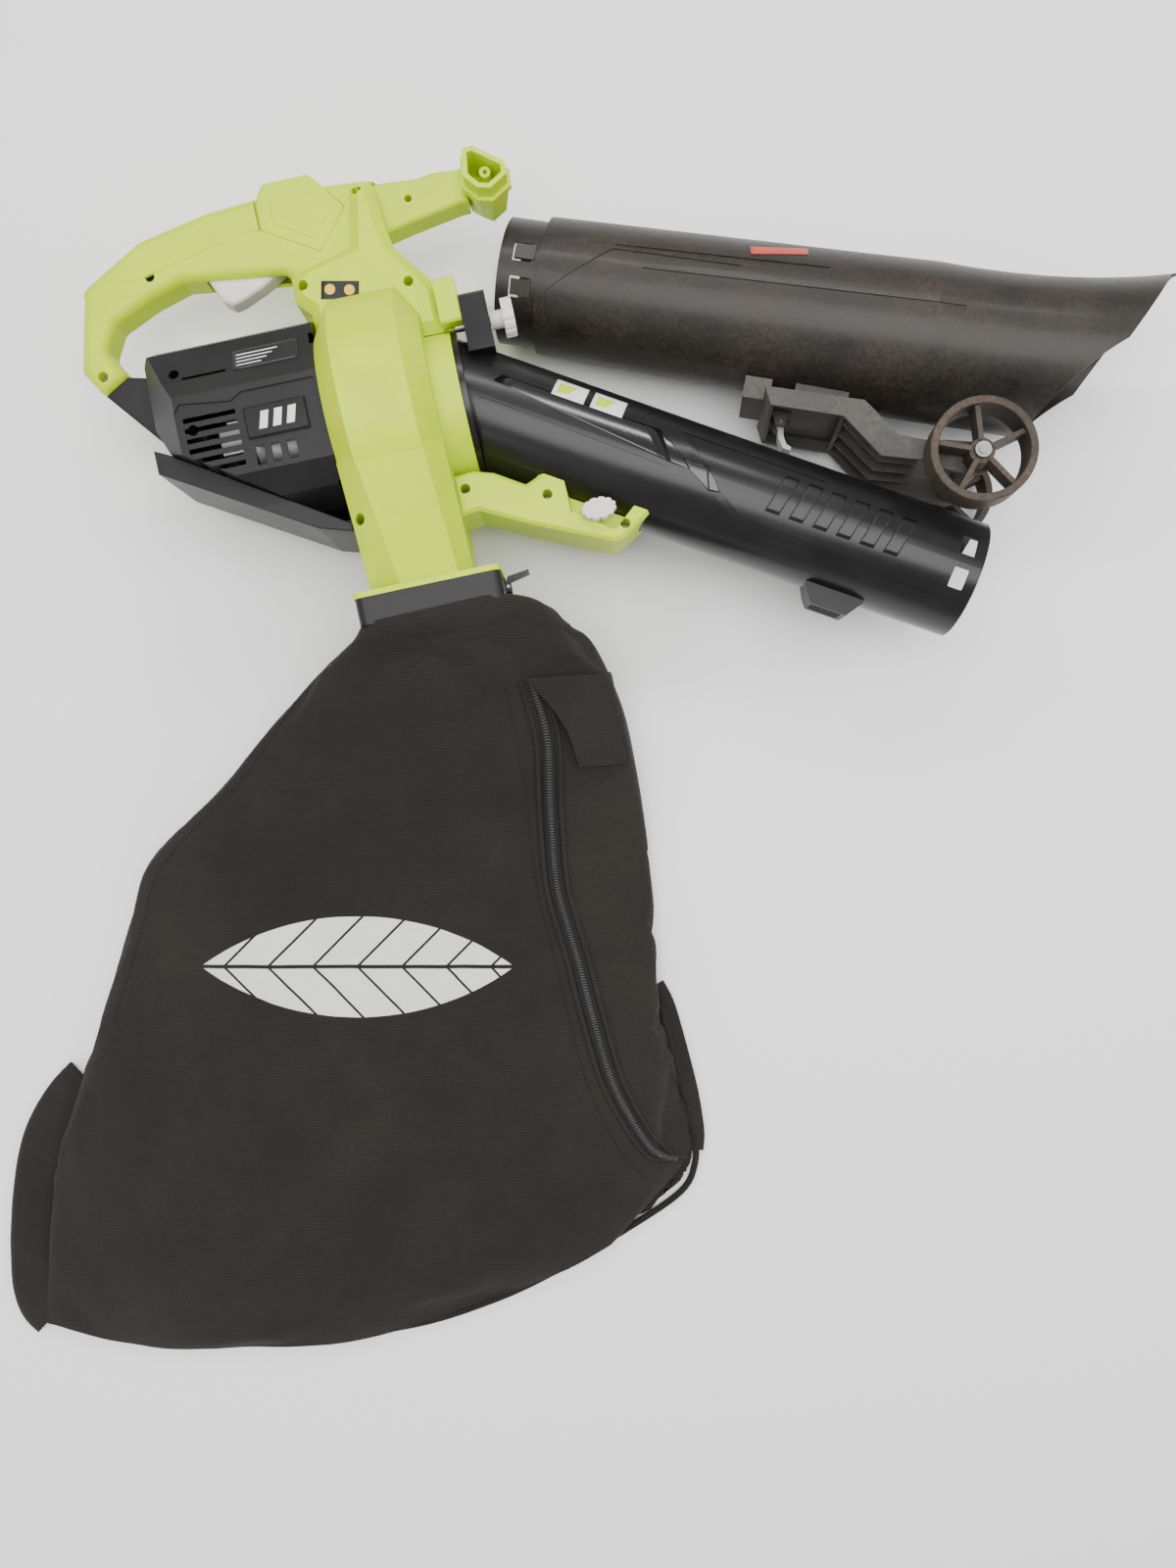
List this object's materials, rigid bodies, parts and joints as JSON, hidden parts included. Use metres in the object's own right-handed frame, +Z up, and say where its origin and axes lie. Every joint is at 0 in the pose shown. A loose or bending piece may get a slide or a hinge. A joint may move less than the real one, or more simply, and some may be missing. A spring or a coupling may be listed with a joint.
{
  "type": "leaf vacuum mulcher",
  "caption": "Handheld electric leaf vacuum mulcher lying on its side, with its zipped collection bag fitted and its wheeled lower suction tube taken off beside it.",
  "frame": {"origin": "middle of the footprint, on the floor", "axes": "+Z up from the floor, +X along the fan axis from the motor towards the tubes, +Y from the bag towards the handle"},
  "size_m": [1.307, 1.0952, 0.224],
  "materials": {
    "lime": "moulded, satin",
    "stone_white": "moulded, fine grain",
    "black_tube": "moulded, satin gloss",
    "black_body": "moulded, satin",
    "black_switch": "moulded",
    "badge": "printed plate, blank",
    "bag_fabric": "ribbed weave",
    "bag_binding": "bound tape",
    "zip": "coil zip tape",
    "zip_metal": "dark enamel",
    "screw_steel": "zinc plated",
    "laminations": "stacked sheet",
    "motor_steel": "zinc grey",
    "brass": "bright",
    "copper": "copper segments",
    "carbon": "pressed carbon",
    "wheel_tyre": "hard moulded, dusty"
  },
  "bodies": {
    "machine": {"volute_left_shell": "lime", "volute_right_shell": "lime", "handle_left_shell": "lime", "handle_right_shell": "lime", "grip_insert": "lime", "switch_cover": "lime", "front_handle": "lime", "housing_screws": "screw_steel", "trigger_pin": "screw_steel", "power_switch": "black_switch", "interlock_switch": "black_switch", "motor_left_cover": "black_body", "motor_right_cover": "black_body", "motor_screws": "screw_steel", "badge_plate": "badge", "base_foot": "black_body", "power_inlet": "black_switch", "inlet_blades": "brass", "stator": "laminations", "motor_can": "motor_steel", "bearing_bridge": "motor_steel", "rear_bearing": "screw_steel", "front_bearing": "screw_steel", "brushes": "carbon", "arm_left_shell": "lime", "arm_right_shell": "lime", "arm_screws": "screw_steel"},
    "rotor": {"shaft": "screw_steel", "rotor_core": "laminations", "commutator": "copper", "cooling_fan": "black_switch", "impeller": "black_switch", "mulching_blade": "screw_steel", "impeller_nut": "screw_steel"},
    "trigger": {"trigger": "stone_white"},
    "upper_tube": {"upper_tube": "black_tube", "tube_hook": "black_body"},
    "tube_knob": {"tube_knob": "stone_white", "tube_knob_stud": "screw_steel"},
    "arm_knob": {"arm_knob": "stone_white", "arm_knob_stud": "screw_steel"},
    "bag": {"bag_collar": "black_body", "latch_pin": "screw_steel", "bag_body": "bag_fabric", "bag_cuff": "bag_fabric", "bag_handle_left": "bag_binding", "bag_handle_right": "bag_binding", "zip_tape": "zip"},
    "bag_latch": {"bag_latch": "black_switch"},
    "zip_slider": {"zip_slider": "zip_metal"},
    "lower_tube": {"lower_tube": "black_tube", "snap_tabs": "black_switch", "wheel_bracket": "black_body", "axle": "screw_steel", "axle_caps": "screw_steel", "hook_pin": "screw_steel"},
    "bracket_hook": {"bracket_hook": "screw_steel"},
    "wheel_near": {"wheel_near": "wheel_tyre"},
    "wheel_far": {"wheel_far": "wheel_tyre"}
  },
  "joints": [
    {"name": "rotor_spin", "type": "hinge", "parent": "machine", "child": "rotor", "pos_m": [-0.10854, 0.31835, 0.112], "axis": [1, 0, 0], "continuous": true},
    {"name": "trigger_pull", "type": "hinge", "parent": "machine", "child": "trigger", "pos_m": [-0.15054, 0.48635, 0.112], "axis": [0, 0, -1], "range_deg": [0, 10], "stiffness_Nm_per_rad": 0.06},
    {"name": "tube_removal", "type": "slide", "parent": "machine", "child": "upper_tube", "axis": [1, 0, 0], "range_m": [0, 0.02]},
    {"name": "tube_knob_turn", "type": "hinge", "parent": "upper_tube", "child": "tube_knob", "pos_m": [0.03346, 0.37835, 0.144], "axis": [1, 0, 0], "continuous": true},
    {"name": "arm_knob_turn", "type": "hinge", "parent": "machine", "child": "arm_knob", "pos_m": [0.08846, 0.19135, 0.147], "axis": [0, 0, 1], "continuous": true},
    {"name": "bag_removal", "type": "slide", "parent": "machine", "child": "bag", "axis": [0, -1, 0], "range_m": [0, 0.05]},
    {"name": "bag_latch_lift", "type": "hinge", "parent": "bag", "child": "bag_latch", "pos_m": [-0.00554, 0.14555, 0.112], "axis": [0, 0, -1], "range_deg": [0, 35]},
    {"name": "zip_pull", "type": "slide", "parent": "bag", "child": "zip_slider", "axis": [-0.194, -0.981, 0], "range_m": [0, 0.1]},
    {"name": "lower_tube_move", "type": "slide", "parent": "machine", "child": "lower_tube", "axis": [0.9252, -0.3795, 0], "range_m": [0, 0.15]},
    {"name": "hook_swing", "type": "hinge", "parent": "lower_tube", "child": "bracket_hook", "pos_m": [0.27752, 0.24892, 0.0808], "axis": [-0.0717, 0.0294, 0.997], "range_deg": [-20, 20], "stiffness_Nm_per_rad": 0.02},
    {"name": "wheel_near_spin", "type": "hinge", "parent": "lower_tube", "child": "wheel_near", "pos_m": [0.42468, 0.16587, 0.16907], "axis": [-0.0717, 0.0294, 0.997], "continuous": true},
    {"name": "wheel_far_spin", "type": "hinge", "parent": "lower_tube", "child": "wheel_far", "pos_m": [0.43543, 0.16145, 0.01952], "axis": [-0.0717, 0.0294, 0.997], "continuous": true}
  ]
}
